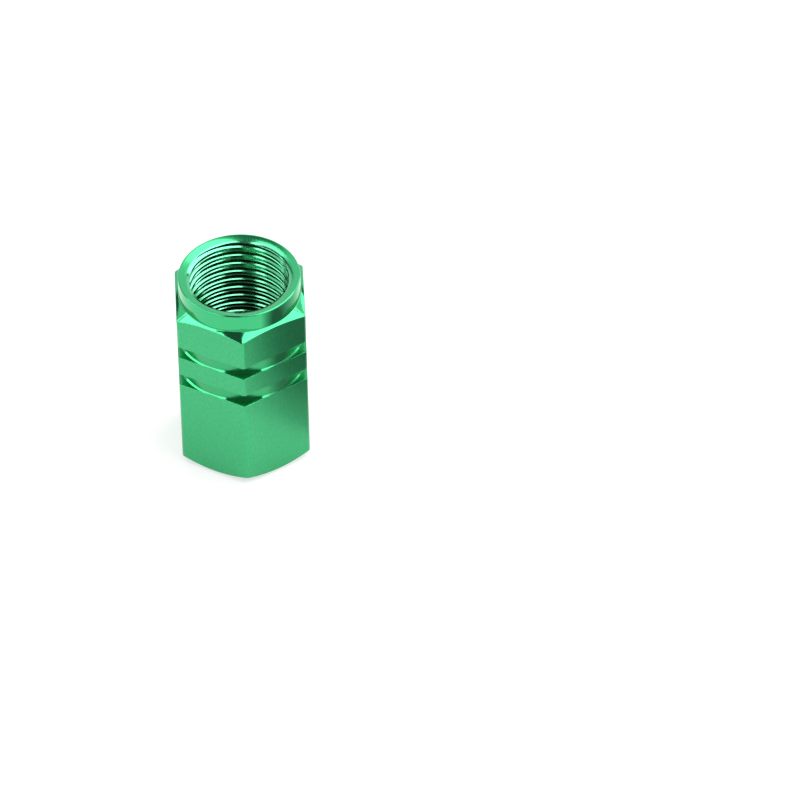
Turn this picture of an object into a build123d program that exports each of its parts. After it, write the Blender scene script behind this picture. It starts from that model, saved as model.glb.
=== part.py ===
from build123d import *
import os
from math import radians, sqrt, tan

# A tyre valve cap turned from hexagon bar, with a rubber sealing washer in its blind bore.
# Millimetres and degrees. The cap stands on its closed end, with its axis on +Z and its mouth up.

# Hexagon bar
across_flats = 9.4
bar_corner_round = 0.28

# Outside, turned on the bar; heights are from the closed end
overall_length = 16.0
end_face_diameter = 8.65
end_chamfer_angle = 30.0
neck_diameter = 8.92
neck_length = 1.48
neck_foot_round = 0.08
shoulder_angle = 21.0
rim_round = 0.1

# Grooves turned round the hexagon, just deep enough to mark the flats
groove_count = 2
groove_width = 1.03
groove_spacing = 2.71
lowest_groove_height = 8.42
groove_depth_in_flat = 0.05
groove_corner_break = 0.11

# Bore for the valve stem, plain at the thread's major diameter; depths are from the mouth
thread_major_diameter = 7.8
thread_depth = 9.6
lead_in_width = 0.42
lead_in_angle = 20.0
relief_depth = 0.3

# Sealing washer, trapped in the relief below the thread
washer_thickness = 1.5
washer_hole_diameter = 3.0
washer_clearance = 0.05
washer_headroom = 0.3

# Sizes that follow from those above
neck_radius = neck_diameter / 2
end_face_radius = end_face_diameter / 2
thread_radius = thread_major_diameter / 2
relief_radius = thread_radius + relief_depth
groove_floor_radius = across_flats / 2 - groove_depth_in_flat
tool_radius = max(across_flats / sqrt(3), neck_radius) + groove_width
neck_foot_height = overall_length - neck_length
lead_in_foot_height = overall_length - lead_in_width * tan(radians(lead_in_angle))
relief_top_height = overall_length - thread_depth
bore_floor_height = relief_top_height - washer_thickness - washer_headroom


def hexagon_bar():
    """Length of bar stock with lightly rounded corners, one corner towards -Y."""
    section = RegularPolygon(across_flats / 2, 6, major_radius=False, rotation=30)
    section = fillet(section.vertices(), bar_corner_round)
    return extrude(section, overall_length)


def turned_outside():
    """Solid of revolution that the lathe leaves: end chamfer, shoulder cone, neck and rounded rim."""
    chamfer_top = (tool_radius - end_face_radius) * tan(radians(end_chamfer_angle))
    shoulder_drop = (tool_radius - neck_radius) * tan(radians(shoulder_angle))
    neck_foot = (neck_radius, neck_foot_height)
    rim = (neck_radius, overall_length)
    outline = Polyline(
        (0, 0),
        (end_face_radius, 0),
        (tool_radius, chamfer_top),
        (tool_radius, neck_foot_height - shoulder_drop),
        neck_foot,
        rim,
        (0, overall_length),
        close=True,
    )
    section = make_face(outline)
    section = fillet(section.vertices().sort_by_distance(neck_foot)[0], neck_foot_round)
    section = fillet(section.vertices().sort_by_distance(rim)[0], rim_round)
    return revolve(Plane.XZ * section, Axis.Z)


def groove(height):
    """Ring cut away by a grooving tool with its corners ground off, centred at this height."""
    depth = tool_radius - groove_floor_radius
    section = Pos(groove_floor_radius + depth / 2, height) * Rectangle(depth, groove_width)
    section = chamfer(section.vertices().group_by(Axis.X)[0], groove_corner_break)
    return revolve(Plane.XZ * section, Axis.Z)


def stem_bore():
    """Blind bore: open lead-in at the mouth, thread wall, and the wider relief that traps the washer."""
    section = Polyline(
        (0, bore_floor_height),
        (relief_radius, bore_floor_height),
        (relief_radius, relief_top_height),
        (thread_radius, relief_top_height),
        (thread_radius, lead_in_foot_height),
        (thread_radius + lead_in_width, overall_length),
        (0, overall_length),
        close=True,
    )
    return revolve(Plane.XZ * make_face(section), Axis.Z)


def cap_body():
    """The one-piece cap."""
    body = hexagon_bar() & turned_outside()
    for index in range(groove_count):
        body -= groove(lowest_groove_height + index * groove_spacing)
    return body - stem_bore()


def sealing_washer():
    """Flat rubber washer on the floor of the bore, open in the middle to clear the valve pin."""
    outline = Circle(relief_radius - washer_clearance) - Circle(washer_hole_diameter / 2)
    return Pos(0, 0, bore_floor_height) * extrude(outline, washer_thickness)


pieces = {
    "cap_body": cap_body(),
    "sealing_washer": sealing_washer(),
}

os.makedirs("parts", exist_ok=True)
for name, piece in pieces.items():
    piece.label = name
    export_step(piece, f"parts/{name}.step")
    size = piece.bounding_box().size
    print(f"{name}: {len(piece.solids())} solid, {piece.volume:.2f} mm3, "
          f"{size.X:.2f} x {size.Y:.2f} x {size.Z:.2f} mm")
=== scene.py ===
# %% [markdown]
# # A tyre valve cap in green anodised aluminium
#
# The cap is turned from hexagon bar: a lathe cuts the neck, the shoulder, two grooves and the end
# chamfer, a tap forms the thread in the blind bore, and the whole piece is then anodised and dyed green.
# A black rubber washer sits at the bottom of the bore. This lesson makes both pieces in the order in
# which a workshop would, then gives them their finish, and then lights and photographs them.
#
# The CAD model is loaded first, as a fixed frame. Nothing in it is moved: new pieces take their place
# in the same frame, in metres.

# %% Load the frame
import math

import bmesh
import bpy
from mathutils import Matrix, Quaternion, Vector


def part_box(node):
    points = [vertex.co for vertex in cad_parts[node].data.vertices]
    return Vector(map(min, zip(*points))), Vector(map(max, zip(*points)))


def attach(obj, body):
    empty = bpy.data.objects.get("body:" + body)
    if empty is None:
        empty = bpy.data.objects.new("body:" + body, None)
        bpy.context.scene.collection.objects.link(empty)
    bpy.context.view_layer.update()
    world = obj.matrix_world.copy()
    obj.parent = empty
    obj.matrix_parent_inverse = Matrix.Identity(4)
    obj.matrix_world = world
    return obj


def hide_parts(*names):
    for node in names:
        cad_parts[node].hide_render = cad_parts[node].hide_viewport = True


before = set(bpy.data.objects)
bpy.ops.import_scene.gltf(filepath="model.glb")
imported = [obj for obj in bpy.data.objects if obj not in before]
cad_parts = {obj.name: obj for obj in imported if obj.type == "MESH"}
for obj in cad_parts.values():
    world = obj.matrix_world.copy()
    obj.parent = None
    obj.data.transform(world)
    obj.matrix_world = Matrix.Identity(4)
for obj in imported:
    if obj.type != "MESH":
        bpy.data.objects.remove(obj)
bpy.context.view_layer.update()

# %% [markdown]
# ## Sizes
#
# Two sizes come from the frame: the length and the width across flats. The others are the CAD model's
# own driving sizes, in millimetres. All modelling below is done with one Blender unit for a millimetre,
# because a cut or a bevel of a few hundredths is near the limits of Blender's tools at true scale. Each
# finished piece is then scaled to metres.

# %% Sizes in millimetres
MM = 0.001
body_low, body_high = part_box("cap_body")
length = (body_high[2] - body_low[2]) / MM
across_flats = (body_high[0] - body_low[0]) / MM
bar_corner_round = 0.28
end_face_radius = 4.325
end_chamfer_angle = math.radians(30)
neck_radius = 4.46
neck_length = 1.48
neck_foot_height = length - neck_length
neck_foot_round = 0.08
shoulder_angle = math.radians(21)
rim_round = 0.1
lowest_groove_height, groove_spacing = 8.42, 2.71
groove_heights = (lowest_groove_height, lowest_groove_height + groove_spacing)
groove_width = 1.03
groove_corner_break = 0.11
groove_depth_in_flat = 0.05
groove_floor_radius = across_flats / 2 - groove_depth_in_flat
print(f"length {length:.2f} mm, across flats {across_flats:.2f} mm")

# %% [markdown]
# ## Turning on the lathe
#
# Everything round on this cap is a profile turned about one axis. Spin would do that too, but a lathe
# can be copied more directly: start from a circle with its face, extrude the face to the next height,
# and resize it to the next radius. The face that is left at the end closes the piece.
#
# The profile is a list of corners: radius, height, and how far the corner is rounded. A real edge is
# never quite sharp, and the thin bright lines in which an edge catches the light come from that round.

# %% A profile with rounded corners
ARC_STEPS = 5


def rounded(corners):
    """(radius, height) stations along corners of (radius, height, round)."""
    stations = [Vector(corners[0][:2])]
    for before, corner, after in zip(corners, corners[1:], corners[2:]):
        here, size = Vector(corner[:2]), corner[2]
        if not size:
            stations.append(here)
            continue
        back = (Vector(before[:2]) - here).normalized()
        on = (Vector(after[:2]) - here).normalized()
        half = back.angle(on) / 2
        centre = here + (back + on).normalized() * size / math.sin(half)
        first = here + back * size / math.tan(half) - centre
        last = here + on * size / math.tan(half) - centre
        stations += [centre + size * first.slerp(last, step / ARC_STEPS) for step in range(ARC_STEPS + 1)]
    return stations + [Vector(corners[-1][:2])]


quarter = rounded([(1, 0, 0), (1, 1, 0.5), (0, 1, 0)])
print("a quarter round:", [tuple(round(c, 2) for c in point) for point in quarter])

# %% The lathe
SIDES = 360
SAME_POINT = 1e-5


def clear_selection():
    """Nothing selected, so that the next operator acts only on what it is given."""
    if bpy.context.object and bpy.context.object.mode != "OBJECT":
        bpy.ops.object.mode_set(mode="OBJECT")
    bpy.ops.object.select_all(action="DESELECT")


def turn(name, corners, sides=SIDES, ring=False):
    """A piece turned about Z through a profile; ring=True closes the profile on itself, with no face."""
    stations = rounded(corners)
    clear_selection()
    bpy.ops.mesh.primitive_circle_add(
        vertices=sides, radius=stations[0].x, fill_type="NOTHING" if ring else "NGON", location=(0, 0, 0))
    piece = bpy.context.object
    piece.name = piece.data.name = name
    bpy.ops.object.mode_set(mode="EDIT")
    bpy.ops.mesh.select_mode(type="EDGE" if ring else "FACE")
    bpy.ops.mesh.select_all(action="SELECT")
    bpy.ops.transform.translate(value=(0, 0, stations[0].y))
    for here, there in zip(stations, stations[1:]):
        grow = there.x / here.x
        bpy.ops.mesh.extrude_region_move(TRANSFORM_OT_translate={"value": (0, 0, there.y - here.y)})
        bpy.ops.transform.resize(value=(grow, grow, 1), center_override=(0, 0, there.y))
    bpy.ops.mesh.select_all(action="SELECT")
    bpy.ops.mesh.remove_doubles(threshold=SAME_POINT)
    bpy.ops.mesh.normals_make_consistent(inside=False)
    bpy.ops.object.mode_set(mode="OBJECT")
    return piece


def faces_in(piece):
    return f"{piece.name}: {len(piece.data.vertices)} vertices, {len(piece.data.polygons)} faces"


# %% [markdown]
# ## The turned blank
#
# One profile holds all that the lathe does, from the middle of the closed end, up the outside, over the
# rim and down into the bore. Where the bar will keep its flats, the profile stays outside the hexagon's
# corners. The inner corners of the grooves are broken flat, and catch the light as thin bright curves.
# The bore is drilled to the radius of the thread's crests, and widens below the thread to the relief that
# holds the washer. Its mouth is countersunk: a shallow dish, then a short taper down to the crests.

# %% Turn the blank
turning_allowance = 0.5
clear_of_bar = across_flats / math.sqrt(3) + turning_allowance
thread_root_radius = 3.9
thread_crest_radius = 3.64
lead_in_radius = 3.82
lead_in_taper = 0.15
lead_in_width = 0.42
mouth_radius = thread_root_radius + lead_in_width
lead_in_angle = math.radians(14)
lead_in_foot = length - (mouth_radius - lead_in_radius) * math.tan(lead_in_angle)
relief_depth, thread_depth, washer_room = 0.3, 9.6, 1.8
relief_radius = thread_root_radius + relief_depth
relief_top = length - thread_depth
bore_floor = relief_top - washer_room
edge_round = 0.03

profile = [
    (end_face_radius / 2, 0, 0),
    (end_face_radius, 0, edge_round),
    (clear_of_bar, (clear_of_bar - end_face_radius) * math.tan(end_chamfer_angle), 0),
]
for height in groove_heights:
    foot, top = height - groove_width / 2, height + groove_width / 2
    profile += [
        (clear_of_bar, foot, 0),
        (groove_floor_radius + groove_corner_break, foot, 0),
        (groove_floor_radius, foot + groove_corner_break, 0),
        (groove_floor_radius, top - groove_corner_break, 0),
        (groove_floor_radius + groove_corner_break, top, 0),
        (clear_of_bar, top, 0),
    ]
profile += [
    (clear_of_bar, neck_foot_height - (clear_of_bar - neck_radius) * math.tan(shoulder_angle), 0),
    (neck_radius, neck_foot_height, neck_foot_round),
    (neck_radius, length, rim_round),
    (mouth_radius, length, edge_round),
    (lead_in_radius, lead_in_foot, 0),
    (thread_crest_radius, lead_in_foot - lead_in_taper, 0),
    (thread_crest_radius, relief_top, 0),
    (relief_radius, relief_top, 0),
    (relief_radius, bore_floor, 0),
    (relief_radius / 2, bore_floor, 0),
]
cap = turn("cap_body_skin", profile)
print(faces_in(cap))

# %% [markdown]
# ## The hexagon bar
#
# The flats are what is left of the drawn bar that the blank was turned from. A six-sided cylinder stands
# for the bar: Blender puts its first corner on +Y, so one corner also faces the viewer, on -Y. Its long
# edges get the bar's corner round by bevel, and a Boolean keeps what bar and blank have in common.

# %% Cut the flats
bar_spare = 2
half_turn_at_corner = math.radians(30)
clear_selection()
bpy.ops.mesh.primitive_cylinder_add(
    vertices=6, radius=across_flats / math.sqrt(3), depth=length + bar_spare, location=(0, 0, length / 2))
bar = bpy.context.object
bpy.ops.object.mode_set(mode="EDIT")
bpy.ops.mesh.select_mode(type="EDGE")
bpy.ops.mesh.select_all(action="DESELECT")
mesh = bmesh.from_edit_mesh(bar.data)
for edge in mesh.edges:
    edge.select = abs(edge.verts[0].co.z - edge.verts[1].co.z) > length
bmesh.update_edit_mesh(bar.data)
bpy.ops.mesh.bevel(offset=bar_corner_round * math.tan(half_turn_at_corner), segments=6)
bpy.ops.object.mode_set(mode="OBJECT")


def combine(piece, tool, operation):
    """Boolean of a piece with a tool, applied; the tool is then thrown away."""
    clear_selection()
    bpy.context.view_layer.objects.active = piece
    piece.select_set(True)
    cut = piece.modifiers.new("cut", "BOOLEAN")
    cut.operation, cut.solver, cut.object = operation, "EXACT", tool
    bpy.ops.object.modifier_apply(modifier=cut.name)
    bpy.data.objects.remove(tool)


combine(cap, bar, "INTERSECT")
print(faces_in(cap))

# %% [markdown]
# ## Broken edges
#
# Where a flat meets a turned face the cutter leaves a burr, and tumbling before anodising takes it off.
# The edges are found in code: a flat is a face that stands upright outside the grooves' floor, and an
# edge to break has a flat on one side only. At the middle of a flat the grooves are only 0.05 mm deep,
# so the break of their edges starts a little way out from there. On the bar's rounded corners the bevel
# leaves points on top of each other, and a weld merges them, so that the skin stays closed.

# %% Break the edges of the flats
flat_margin = 0.02
upright_limit = 0.01
end_edge_break, groove_edge_break = 0.05, 0.03
weld_distance = 0.0005
shallow_radius = groove_floor_radius + groove_corner_break + groove_edge_break


def is_flat(face):
    """True for the bar's flats and its rounded corners."""
    centre = face.calc_center_median()
    upright = abs(face.normal.z) < upright_limit
    return upright and centre.xy.length > groove_floor_radius + flat_margin


def break_edges(piece, size, wanted):
    """Bevel the edges round the flats for which wanted(middle of the edge) is true."""
    bpy.ops.object.mode_set(mode="EDIT")
    bpy.ops.mesh.select_mode(type="EDGE")
    bpy.ops.mesh.select_all(action="DESELECT")
    mesh = bmesh.from_edit_mesh(piece.data)
    mesh.normal_update()
    count = 0
    for edge in mesh.edges:
        middle = (edge.verts[0].co + edge.verts[1].co) / 2
        if len({is_flat(face) for face in edge.link_faces}) == 2 and wanted(middle):
            edge.select = True
            count += 1
    bmesh.update_edit_mesh(piece.data)
    bpy.ops.mesh.bevel(offset=size, segments=3, clamp_overlap=False, loop_slide=False)
    bpy.ops.object.mode_set(mode="OBJECT")
    return count


lowest_groove, highest_groove = groove_heights[0] - groove_width, groove_heights[1] + groove_width


def at_grooves(middle):
    return lowest_groove < middle.z < highest_groove


ends = break_edges(cap, end_edge_break, lambda middle: not at_grooves(middle))
grooves = break_edges(
    cap, groove_edge_break, lambda middle: at_grooves(middle) and middle.xy.length > shallow_radius)
bpy.ops.object.mode_set(mode="EDIT")
bpy.ops.mesh.select_all(action="SELECT")
bpy.ops.mesh.remove_doubles(threshold=weld_distance)
bpy.ops.object.mode_set(mode="OBJECT")
print(ends, "edges broken at the shoulder and the end,", grooves, "at the grooves;", faces_in(cap))

# %% [markdown]
# ## The thread
#
# The thread is right-handed, with 32 turns an inch. Its tooth is a bar with flanks at 60 degrees to each
# other, which the Screw modifier winds into a helix and a Boolean takes away from the wall. A tap that
# forms a thread squeezes the metal up on both sides of its tooth. Where the two lips meet on the crest
# they leave a fine seam, and a second, much shallower helix cuts that. An array of rings would be easier,
# but rings don't climb, and here the eye follows the lines round. Both helices start in the relief and run
# out past the mouth, so that the countersunk mouth cuts the first turns off at a slant.

# %% Tap the bore
INCH = 25.4
pitch = INCH / 32
helix_steps = 120
tap_clearance = 0.02
tap_inner_radius = thread_crest_radius - tap_clearance
crest_height_at_back = 12.81
# The helix starts on +X, a quarter turn before the back, and its root lies half a turn below a crest.
first_turn, turns_below = 0.75, 9
tap_start = crest_height_at_back - first_turn * pitch - turns_below * pitch
tap_turns = math.ceil((length - tap_start) / pitch) + 1
thread_root_half_width, thread_half_angle = 0.05, 30
seam_root_half_width, seam_half_angle = 0.01, 40
seam_depth, seam_drop = 0.05, 0.48
seam_start = tap_start + pitch - seam_drop


def wire(points):
    """A closed ring of edges through points, made by moving the vertices of a circle one by one."""
    clear_selection()
    bpy.ops.mesh.primitive_circle_add(vertices=len(points), radius=1, location=(0, 0, 0))
    ring = bpy.context.object
    bpy.ops.object.mode_set(mode="EDIT")
    bpy.ops.mesh.select_mode(type="VERT")
    for index, point in enumerate(points):
        bpy.ops.mesh.select_all(action="DESELECT")
        mesh = bmesh.from_edit_mesh(ring.data)
        mesh.verts.ensure_lookup_table()
        vertex = mesh.verts[index]
        vertex.select = True
        mesh.select_flush_mode()
        bmesh.update_edit_mesh(ring.data)
        bpy.ops.transform.translate(value=Vector(point) - vertex.co)
    bpy.ops.object.mode_set(mode="OBJECT")
    return ring


def tap(root_radius, root_half_width, half_angle, middle):
    """A helical cutter whose tooth reaches from the crests out to root_radius, from this height up."""
    reach = (root_radius - tap_inner_radius) * math.tan(math.radians(half_angle))
    outer, inner = root_half_width, root_half_width + reach
    section = [
        (root_radius, outer), (tap_inner_radius, inner), (tap_inner_radius, -inner), (root_radius, -outer)]
    cutter = wire([(radius, 0, middle + height) for radius, height in section])
    helix = cutter.modifiers.new("helix", "SCREW")
    helix.axis, helix.screw_offset, helix.iterations = "Z", pitch, tap_turns
    helix.steps = helix.render_steps = helix_steps
    bpy.ops.object.modifier_apply(modifier=helix.name)
    bpy.ops.object.mode_set(mode="EDIT")
    bpy.ops.mesh.select_all(action="DESELECT")
    bpy.ops.mesh.select_non_manifold()
    bpy.ops.mesh.fill_holes(sides=len(section))
    bpy.ops.mesh.select_all(action="SELECT")
    bpy.ops.mesh.normals_make_consistent(inside=False)
    bpy.ops.object.mode_set(mode="OBJECT")
    print(f"{tap_turns} turns from {middle:.2f} mm;", faces_in(cutter))
    return cutter


tooth = tap(thread_root_radius, thread_root_half_width, thread_half_angle, tap_start)
combine(cap, tooth, "DIFFERENCE")
seam = tap(thread_crest_radius + seam_depth, seam_root_half_width, seam_half_angle, seam_start)
combine(cap, seam, "DIFFERENCE")
print(faces_in(cap))

# %% [markdown]
# ## To metres, with clean shading
#
# The cap is scaled to metres and the scale is applied, so that the object sits at the origin with its
# size in its mesh. Smooth shading by angle keeps crisp edges crisp. The Weighted Normal modifier then
# lets large faces set the shading, so that a flat stays flat right up to its broken edge.

# %% Finish the cap's mesh
def to_metres(piece, crease_angle=30):
    """Scale a piece modelled in millimetres and shade it smooth."""
    clear_selection()
    bpy.context.view_layer.objects.active = piece
    piece.select_set(True)
    piece.scale = (MM, MM, MM)
    bpy.ops.object.transform_apply(location=True, rotation=True, scale=True)
    bpy.ops.object.shade_smooth_by_angle(angle=math.radians(crease_angle))
    weighted = piece.modifiers.new("weighted", "WEIGHTED_NORMAL")
    weighted.keep_sharp = True
    bpy.ops.object.modifier_apply(modifier=weighted.name)


to_metres(cap)
mesh = bmesh.new()
mesh.from_mesh(cap.data)
open_edges = sum(len(edge.link_faces) != 2 for edge in mesh.edges)
print(faces_in(cap), "open edges:", open_edges, f"volume {mesh.calc_volume() / MM ** 3:.1f} mm3",
      "triangles:", sum(len(face.verts) - 2 for face in mesh.faces))
mesh.free()
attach(cap, "root")
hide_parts("cap_body")

# %% [markdown]
# ## The sealing washer
#
# A flat rubber washer lies on the floor of the bore, held in the relief under the thread. Its edges are
# moulded round. It is turned like the rest, with a profile that closes on itself.

# %% Turn the washer
washer_low, washer_high = (corner / MM for corner in map(Vector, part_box("sealing_washer")))
washer_radius, washer_hole_radius, washer_round = washer_high.x, 1.5, 0.2
middle_radius = (washer_radius + washer_hole_radius) / 2
washer = turn("sealing_washer_skin", [
    (middle_radius, washer_low.z, 0),
    (washer_radius, washer_low.z, washer_round),
    (washer_radius, washer_high.z, washer_round),
    (washer_hole_radius, washer_high.z, washer_round),
    (washer_hole_radius, washer_low.z, washer_round),
    (middle_radius, washer_low.z, 0),
], sides=128, ring=True)
to_metres(washer)
print(faces_in(washer))
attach(washer, "root")
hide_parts("sealing_washer")

# %% [markdown]
# ## Colours and nodes
#
# Colours are written as hex values, as a picture shows them, and turned to the linear values that the
# renderer works in. One helper adds a node with its settings and its links.

# %% Helpers for materials
def linear(hex_colour):
    """Linear RGBA of an sRGB hex colour."""
    channels = [int(hex_colour[i:i + 2], 16) / 255 for i in (1, 3, 5)]
    return [c / 12.92 if c <= 0.04045 else ((c + 0.055) / 1.055) ** 2.4 for c in channels] + [1]


def add_node(tree, kind, settings={}, links={}, values={}):
    """A node of a kind, with attributes set, inputs linked from other nodes' outputs and input values."""
    node = tree.nodes.new(kind)
    for name, value in settings.items():
        setattr(node, name, value)
    for name, value in values.items():
        node.inputs[name].default_value = value
    for name, output in links.items():
        tree.links.new(output, node.inputs[name])
    return node


def new_material(name):
    """An empty node material and its tree."""
    material = bpy.data.materials.new(name)
    material.use_nodes = True
    material.node_tree.nodes.clear()
    return material, material.node_tree


print("middle grey in linear values:", [round(c, 3) for c in linear("#808080")])

# %% [markdown]
# ## Anodised aluminium, turned
#
# Anodising grows a thin clear oxide on the metal and fills it with dye, so the metal shines through a
# coloured glass. To the eye that is a strong green mirror with a weak white gloss on top: a green metal
# with a clear coat. The dye's green is the metal's colour, and the coat stands for the oxide's top.
#
# A lathe leaves fine rings, which here follow the profile: their coordinate is the radius less the height,
# so that they run round the neck, the cones and the end face alike. They are drawn coarser than the feed
# of a lathe, or they would not show.

# %% The turned finish
dye_green = linear("#32ba76")
ring_spacing = 0.12 * MM
mark_height = 0.01 * MM


def anodised(tree, roughness, normal, dye_and_painted_light=dye_green, coat_roughness=0.15):
    """Dyed oxide over aluminium: a green metal with a clear coat."""
    shader = add_node(tree, "ShaderNodeBsdfPrincipled", values={
        "Base Color": dye_and_painted_light, "Metallic": 1.0,
        "Coat Weight": 0.5, "Coat Roughness": coat_roughness, "Coat IOR": 1.6,
    }, links={"Roughness": roughness, "Normal": normal})
    add_node(tree, "ShaderNodeOutputMaterial", links={"Surface": shader.outputs["BSDF"]})
    return shader


turned, tree = new_material("anodised_aluminium_turned")
place = add_node(tree, "ShaderNodeTexCoord").outputs["Object"]
axes = add_node(tree, "ShaderNodeSeparateXYZ", links={"Vector": place}).outputs
across = add_node(tree, "ShaderNodeCombineXYZ", links={"X": axes["X"], "Y": axes["Y"]}).outputs["Vector"]
radius = add_node(
    tree, "ShaderNodeVectorMath", {"operation": "LENGTH"}, {"Vector": across}).outputs["Value"]
along = add_node(
    tree, "ShaderNodeMath", {"operation": "SUBTRACT"}, {0: radius, 1: axes["Z"]}).outputs["Value"]
rings = add_node(tree, "ShaderNodeTexNoise", {"noise_dimensions": "1D"}, {"W": along},
                 {"Scale": 1 / ring_spacing, "Detail": 1.0}).outputs["Fac"]
roughness = add_node(tree, "ShaderNodeMapRange", links={"Value": rings},
                     values={"To Min": 0.05, "To Max": 0.11}).outputs["Result"]
bump = add_node(tree, "ShaderNodeBump", links={"Height": rings},
                values={"Strength": 0.12, "Distance": mark_height}).outputs["Normal"]
anodised(tree, roughness, bump, coat_roughness=0.06)
print(turned.name, len(tree.nodes), "nodes")

# %% [markdown]
# ## Anodised aluminium, drawn
#
# The flats keep the skin of the drawn bar. To the eye it is satin: soft reflections without edges, and a
# fine grain along the bar that makes the green a little uneven. Noise that is stretched along Z gives the
# grain. It moves the roughness and the bump, and also the colour, because the dye takes unevenly.
# The grain is drawn coarser than on the bar, so that it shows.

# %% The drawn finish
grain_width, grain_length = 0.1 * MM, 0.25 * MM
drawn, tree = new_material("anodised_aluminium_drawn")
place = add_node(tree, "ShaderNodeTexCoord").outputs["Object"]
stretched = add_node(tree, "ShaderNodeMapping", links={"Vector": place}, values={
    "Scale": (1 / grain_width, 1 / grain_width, 1 / grain_length)}).outputs["Vector"]
grain = add_node(tree, "ShaderNodeTexNoise", links={"Vector": stretched},
                 values={"Scale": 1.0, "Detail": 3.0}).outputs["Fac"]
roughness = add_node(tree, "ShaderNodeMapRange", links={"Value": grain},
                     values={"To Min": 0.26, "To Max": 0.44}).outputs["Result"]
bump = add_node(tree, "ShaderNodeBump", links={"Height": grain},
                values={"Strength": 0.35, "Distance": mark_height}).outputs["Normal"]
shader = anodised(tree, roughness, bump)
patches = add_node(tree, "ShaderNodeMapRange", links={"Value": grain},
                   values={"From Min": 0.3, "From Max": 0.7}).outputs["Result"]
# A Mix node has sockets of the same name for each kind of data; these numbers are the colours'.
MIX_FIRST, MIX_SECOND, MIX_RESULT = 6, 7, 2
uneven_dye = add_node(tree, "ShaderNodeMix", {"data_type": "RGBA"}, {"Factor": patches},
                      {MIX_FIRST: linear("#2cad6d"), MIX_SECOND: linear("#34bd78")})
tree.links.new(uneven_dye.outputs[MIX_RESULT], shader.inputs["Base Color"])
print(drawn.name, len(tree.nodes), "nodes")

# %% [markdown]
# ## Anodised aluminium, cut by form tools
#
# A tap burnishes the thread as it forms it, so the thread is smooth. Its green is paler than the rest, a
# painted highlight for its crisp, almost white lines. A countersink chatters a little in the mouth, which
# blurs what the dish reflects. The grooving tool, pushed straight in, tears the metal most, and leaves the
# grooves dull; their deeper green is painted shade, for the shade inside them. All three are the same oxide
# over a fine noise, which moves the roughness and the bump. So one function makes them, from the size of
# the tears, the smoothest and the roughest spot, the green (painted paler on the thread, darker in the
# grooves), and the roughness of the oxide's top.

# %% The tapped, countersunk and grooved finishes
def form_cut(name, tear_size, smoothest, roughest, dye_and_painted_light, coat_roughness):
    """Anodised metal with fine tears of this size in no special direction."""
    material, tree = new_material(name)
    place = add_node(tree, "ShaderNodeTexCoord").outputs["Object"]
    tears = add_node(tree, "ShaderNodeTexNoise", links={"Vector": place},
                     values={"Scale": 1 / tear_size, "Detail": 2.0}).outputs["Fac"]
    roughness = add_node(tree, "ShaderNodeMapRange", links={"Value": tears},
                         values={"To Min": smoothest, "To Max": roughest}).outputs["Result"]
    bump = add_node(tree, "ShaderNodeBump", links={"Height": tears},
                    values={"Strength": 0.12, "Distance": mark_height}).outputs["Normal"]
    anodised(tree, roughness, bump, dye_and_painted_light, coat_roughness)
    print(name, len(tree.nodes), "nodes")
    return material


# The thread's paler green is a painted highlight, for the bright lines of its flanks.
tapped = form_cut("anodised_aluminium_tapped_painted_highlight", 0.1 * MM, 0.06, 0.20, linear("#62cc98"), 0.06)
countersunk = form_cut("anodised_aluminium_countersunk", 0.12 * MM, 0.16, 0.26, dye_green, 0.15)
# The grooves' deeper green is painted shade, for the shade inside them.
grooved = form_cut("anodised_aluminium_grooved_painted_shade", 0.15 * MM, 0.26, 0.40, linear("#2aab6a"), 0.15)

# %% [markdown]
# ## Which face has which finish
#
# The cap is one mesh with five material slots. Splitting it into five objects would open its skin, and
# picking faces by hand would have to be done again after each change. So a small function tells a face's
# finish from its distance to the axis, its height, and how level it lies. The broken corners of the
# grooves are neither upright nor level, and keep the bright turned finish.

# %% Give each face its finish
TURNED, DRAWN, TAPPED, COUNTERSUNK, GROOVED = range(5)
nearly_upright, nearly_level = 0.1, 0.98
cap.data.materials.clear()
for finish in (turned, drawn, tapped, countersunk, grooved):
    cap.data.materials.append(finish)


def finish_of(face):
    """Slot of the finish of a face, by where it is and which way it looks."""
    radius, height, level = face.center.xy.length / MM, face.center.z / MM, abs(face.normal.z)
    if level < upright_limit and radius > groove_floor_radius + flat_margin:
        return DRAWN
    if radius < thread_root_radius + flat_margin and height > bore_floor:
        return TAPPED
    if height > lead_in_foot and radius < mouth_radius:
        return COUNTERSUNK
    # The grooved finish carries painted shade: a darker green for the shade inside the grooves.
    in_groove = any(abs(height - middle) < groove_width / 2 + flat_margin for middle in groove_heights)
    if in_groove and not nearly_upright < level < nearly_level:
        return GROOVED
    return TURNED


counts = [0] * len(cap.data.materials)
for face in cap.data.polygons:
    face.material_index = finish_of(face)
    counts[face.material_index] += 1
print("faces turned, drawn, tapped, countersunk and grooved:", counts)

# %% [markdown]
# ## Rubber
#
# The washer is moulded rubber. To the eye it is black and matt, with a faint grey bloom that makes it a
# little uneven. One noise gives both the bloom and the slight roughness of the mould.

# %% The washer's rubber
bloom_size = 0.8 * MM
rubber, tree = new_material("moulded_rubber")
place = add_node(tree, "ShaderNodeTexCoord").outputs["Object"]
bloom = add_node(tree, "ShaderNodeTexNoise", links={"Vector": place},
                 values={"Scale": 1 / bloom_size, "Detail": 4.0}).outputs["Fac"]
shade = add_node(tree, "ShaderNodeMix", {"data_type": "RGBA"}, {"Factor": bloom},
                 {MIX_FIRST: linear("#1b1b1c"), MIX_SECOND: linear("#2b2b2c")})
bump = add_node(tree, "ShaderNodeBump", links={"Height": bloom},
                values={"Strength": 0.2, "Distance": 0.02 * MM}).outputs["Normal"]
shader = add_node(tree, "ShaderNodeBsdfPrincipled", values={"Roughness": 0.7},
                  links={"Base Color": shade.outputs[MIX_RESULT], "Normal": bump})
add_node(tree, "ShaderNodeOutputMaterial", links={"Surface": shader.outputs["BSDF"]})
washer.data.materials.clear()
washer.data.materials.append(rubber)
print(rubber.name, len(tree.nodes), "nodes")
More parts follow.
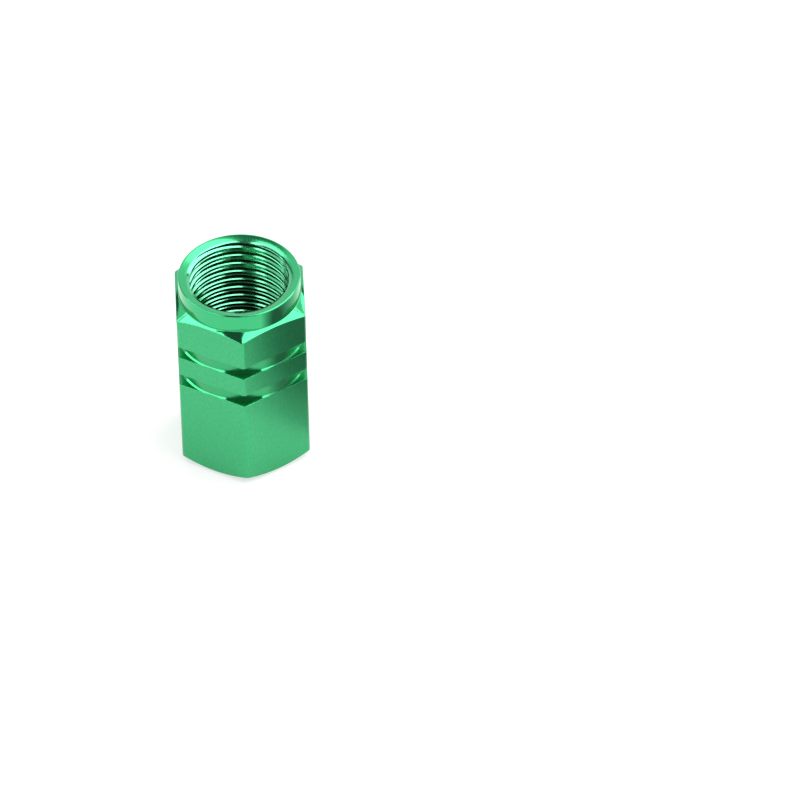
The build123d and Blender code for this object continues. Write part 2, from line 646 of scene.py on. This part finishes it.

# %% [markdown]
# ## The studio
#
# The cap stands on a sweep of white paper whose edge curves up all round. A metal is what it reflects: the
# flats and the neck look out and down at the paper, so the paper is most of what they show. It is a light
# grey under the lamps, and a glow that only the camera and reflections see brings it to white, with no
# more light on the cap. Ambient Occlusion holds the glow back round the foot of the cap, which is painted
# shade: the flats darken towards the floor, and the floor's own shadow gets a painted shadow on top.

# %% White sweep
sweep_radius, sweep_height, sweep_round = 700, 320, 150
lid_margin = 1
sweep = turn("sweep", [
    (sweep_radius / 2, 0, 0),
    (sweep_radius, 0, sweep_round),
    (sweep_radius, sweep_height, 0),
], sides=96)
clear_selection()
bpy.context.view_layer.objects.active = sweep
bpy.ops.object.mode_set(mode="EDIT")
bpy.ops.mesh.select_mode(type="FACE")
bpy.ops.mesh.select_all(action="DESELECT")
mesh = bmesh.from_edit_mesh(sweep.data)
for face in mesh.faces:
    face.select = face.calc_center_median().z > sweep_height - lid_margin
bmesh.update_edit_mesh(sweep.data)
bpy.ops.mesh.delete(type="FACE")
bpy.ops.object.mode_set(mode="OBJECT")
to_metres(sweep, crease_angle=40)
print(faces_in(sweep))

# %% White paper
paper_glow = 0.64
covered_share, covered_share_for_camera, camera_share = 0.4, 0.5, 0.14
cover_reach = 10 * MM
paper, tree = new_material("white_paper")
seen = add_node(tree, "ShaderNodeLightPath").outputs
mirrored = add_node(tree, "ShaderNodeMath", {"operation": "MAXIMUM"},
                    {0: seen["Is Glossy Ray"], 1: seen["Is Transmission Ray"]}).outputs["Value"]
shown = add_node(tree, "ShaderNodeMath", {"operation": "MAXIMUM"},
                 {0: seen["Is Camera Ray"], 1: mirrored}).outputs["Value"]
# Painted shade: the glow fades where Ambient Occlusion finds the cap close by.
open_sky = add_node(tree, "ShaderNodeAmbientOcclusion", values={"Distance": cover_reach}).outputs["AO"]
covered = add_node(
    tree, "ShaderNodeMath", {"operation": "MULTIPLY_ADD"}, {0: seen["Is Camera Ray"]},
    {1: covered_share_for_camera * paper_glow, 2: covered_share * paper_glow}).outputs["Value"]
clear = add_node(tree, "ShaderNodeMath", {"operation": "MULTIPLY_ADD"}, {0: seen["Is Camera Ray"]},
                 {1: camera_share * paper_glow, 2: paper_glow}).outputs["Value"]
glow_here = add_node(tree, "ShaderNodeMapRange",
                     links={"Value": open_sky, "To Min": covered, "To Max": clear}).outputs["Result"]
glow = add_node(
    tree, "ShaderNodeMath", {"operation": "MULTIPLY"}, {0: shown, 1: glow_here}).outputs["Value"]
shader = add_node(tree, "ShaderNodeBsdfPrincipled", values={
    "Base Color": linear("#aaaaaa"), "Roughness": 0.9, "Emission Color": (1, 1, 1, 1)},
    links={"Emission Strength": glow})
add_node(tree, "ShaderNodeOutputMaterial", links={"Surface": shader.outputs["BSDF"]})
sweep.data.materials.append(paper)
print(paper.name, len(tree.nodes), "nodes")

# %% [markdown]
# ## Soft boxes
#
# Level boxes hang over the cap like panes in a ceiling. The dish of the mouth, the shoulder cone and the
# upper flanks of the thread all look up, each at its own slant, so each box lights its own stretch of
# them, and the gap between the left and the right boxes is the dark strip down the back of the thread. Two
# long boxes at the sides lie where the broken corners of the grooves look, and draw each groove's bright
# curve. Area lamps do this well, because metal shows their shape, and the camera doesn't have to see them.

# %% Soft boxes and room
def direction(azimuth, elevation):
    """Unit vector from the cap towards a place round it; azimuth 0 is the front, 90 the right."""
    a, e = math.radians(azimuth), math.radians(elevation)
    return Vector((math.sin(a) * math.cos(e), -math.cos(a) * math.cos(e), math.sin(e)))


def soft_box(name, middle, lean, along, across, turned_by, brightness):
    """A soft box with its back to lean; a brightness of 1 is as bright as white paper in the picture."""
    lamp = bpy.data.lights.new(name, "AREA")
    lamp.shape, lamp.size, lamp.size_y = "RECTANGLE", along, across
    lamp.energy = brightness * math.pi * along * across
    holder = bpy.data.objects.new(name, lamp)
    holder.location = middle
    holder.rotation_mode = "QUATERNION"
    roll = Quaternion((0, 0, 1), math.radians(turned_by))
    holder.rotation_quaternion = Vector(lean).to_track_quat("Z", "Y") @ roll
    holder.visible_camera = False
    bpy.context.scene.collection.objects.link(holder)
    return holder


ceiling, up = 0.366, (0, 0, 1)
# name, place to the right and to the back, length and width, turn in degrees, brightness
for name, right, behind, along, across, turned_by, brightness in (
    ("soft_box_left", -0.202, 0.104, 0.258, 0.09, 133, 3.4),
    ("soft_box_left_side", -0.266, 0.062, 0.27, 0.07, 133, 0.7),
    ("soft_box_left_front", -0.140, -0.067, 0.084, 0.112, 0, 3.0),
    ("soft_box_right", 0.206, 0.034, 0.336, 0.413, -16, 3.0),
    ("soft_box_right_far", 0.515, 0.280, 0.30, 0.42, 0, 3.0),
    ("soft_box_back", 0, 0.516, 0.735, 0.612, 0, 0.9),
):
    soft_box(name, (right, behind, ceiling), up, along, across, turned_by, brightness)
wall_azimuth, wall_elevation, wall_distance = 73, 37, 0.4
wall_length, wall_width, wall_turn, wall_brightness = 0.48, 0.17, -24.5, 2.2
for name, side in (("wall_box_left", -1), ("wall_box_right", 1)):
    lean = direction(side * wall_azimuth, wall_elevation)
    soft_box(name, lean * wall_distance, lean, wall_length, wall_width, wall_turn * side, wall_brightness)
room_grey = 0.12
room = bpy.data.worlds.new("room")
room.use_nodes = True
room.node_tree.nodes["Background"].inputs["Color"].default_value = (room_grey, room_grey, room_grey, 1)
bpy.context.scene.world = room

# %% [markdown]
# ## A dark card
#
# Metal in an all-white room looks flat. A dark card stands close to the right of the cap, seen only in
# reflections: it paints a dark reflection, so that the right flats and the neck fall off to a deep tone. A
# cut edge would show as a line on the metal, so its cover fades out from the middle, by a spherical
# gradient on its Alpha. The camera doesn't see the card, and it throws no shadow.

# %% Dark card
card_middle, card_width, card_height = Vector((7, -5.3, 7.75)) * MM, 13 * MM, 15.5 * MM
darkest_place, fade_size = Vector((7, -5.3, 9)) * MM, Vector((1000, 6.5, 14)) * MM
# Painted reflection: a dark card that only the metal's reflections show.
black, tree = new_material("painted_reflection_black")
place = add_node(tree, "ShaderNodeTexCoord").outputs["Object"]
centred = add_node(tree, "ShaderNodeMapping", {"vector_type": "TEXTURE"}, {"Vector": place},
                   {"Location": darkest_place, "Scale": fade_size}).outputs["Vector"]
towards_middle = add_node(tree, "ShaderNodeTexGradient", {"gradient_type": "SPHERICAL"},
                          {"Vector": centred}).outputs["Fac"]
cover = add_node(tree, "ShaderNodeMapRange", links={"Value": towards_middle},
                 values={"From Max": 0.75, "To Max": 0.87}).outputs["Result"]
shader = add_node(tree, "ShaderNodeBsdfPrincipled", links={"Alpha": cover},
                  values={"Base Color": linear("#303030"), "Roughness": 0.9})
add_node(tree, "ShaderNodeOutputMaterial", links={"Surface": shader.outputs["BSDF"]})
clear_selection()
bpy.ops.mesh.primitive_plane_add(size=1, location=(0, 0, 0))
card = bpy.context.object
card.name = "painted_reflection_card"
card.scale = (card_width, card_height, 1)
card.rotation_mode = "QUATERNION"
card.rotation_quaternion = Vector((-1, 0, 0)).to_track_quat("Z", "Y")
card.location = card_middle
bpy.ops.object.transform_apply(location=True, rotation=True, scale=True)
card.data.materials.append(black)
card.visible_camera = card.visible_shadow = card.visible_diffuse = False
print(black.name, len(tree.nodes), "nodes")

# %% [markdown]
# ## The camera
#
# The photograph was taken from above, at about 44 degrees, with a long lens, and the cap stands left of the
# middle of its frame. The camera aims at the place beside the cap that lies in the middle of the frame.

# %% Camera
camera_azimuth, camera_elevation, camera_roll = -1.79, 43.71, -1.28
camera_distance = 592.6 * MM
aim = Vector((11.54, 1.18, 1.61)) * MM
lens = bpy.data.cameras.new("camera")
lens.sensor_width, lens.lens = 36, 360
camera = bpy.data.objects.new("camera", lens)
back = direction(camera_azimuth, camera_elevation)
camera.location = aim + back * camera_distance
camera.rotation_mode = "QUATERNION"
roll = Quaternion((0, 0, 1), math.radians(camera_roll))
camera.rotation_quaternion = back.to_track_quat("Z", "Y") @ roll
bpy.context.scene.collection.objects.link(camera)
bpy.context.scene.camera = camera
bpy.context.scene.view_settings.view_transform = "Standard"
print("camera at, mm:", [round(c / MM, 1) for c in camera.location])
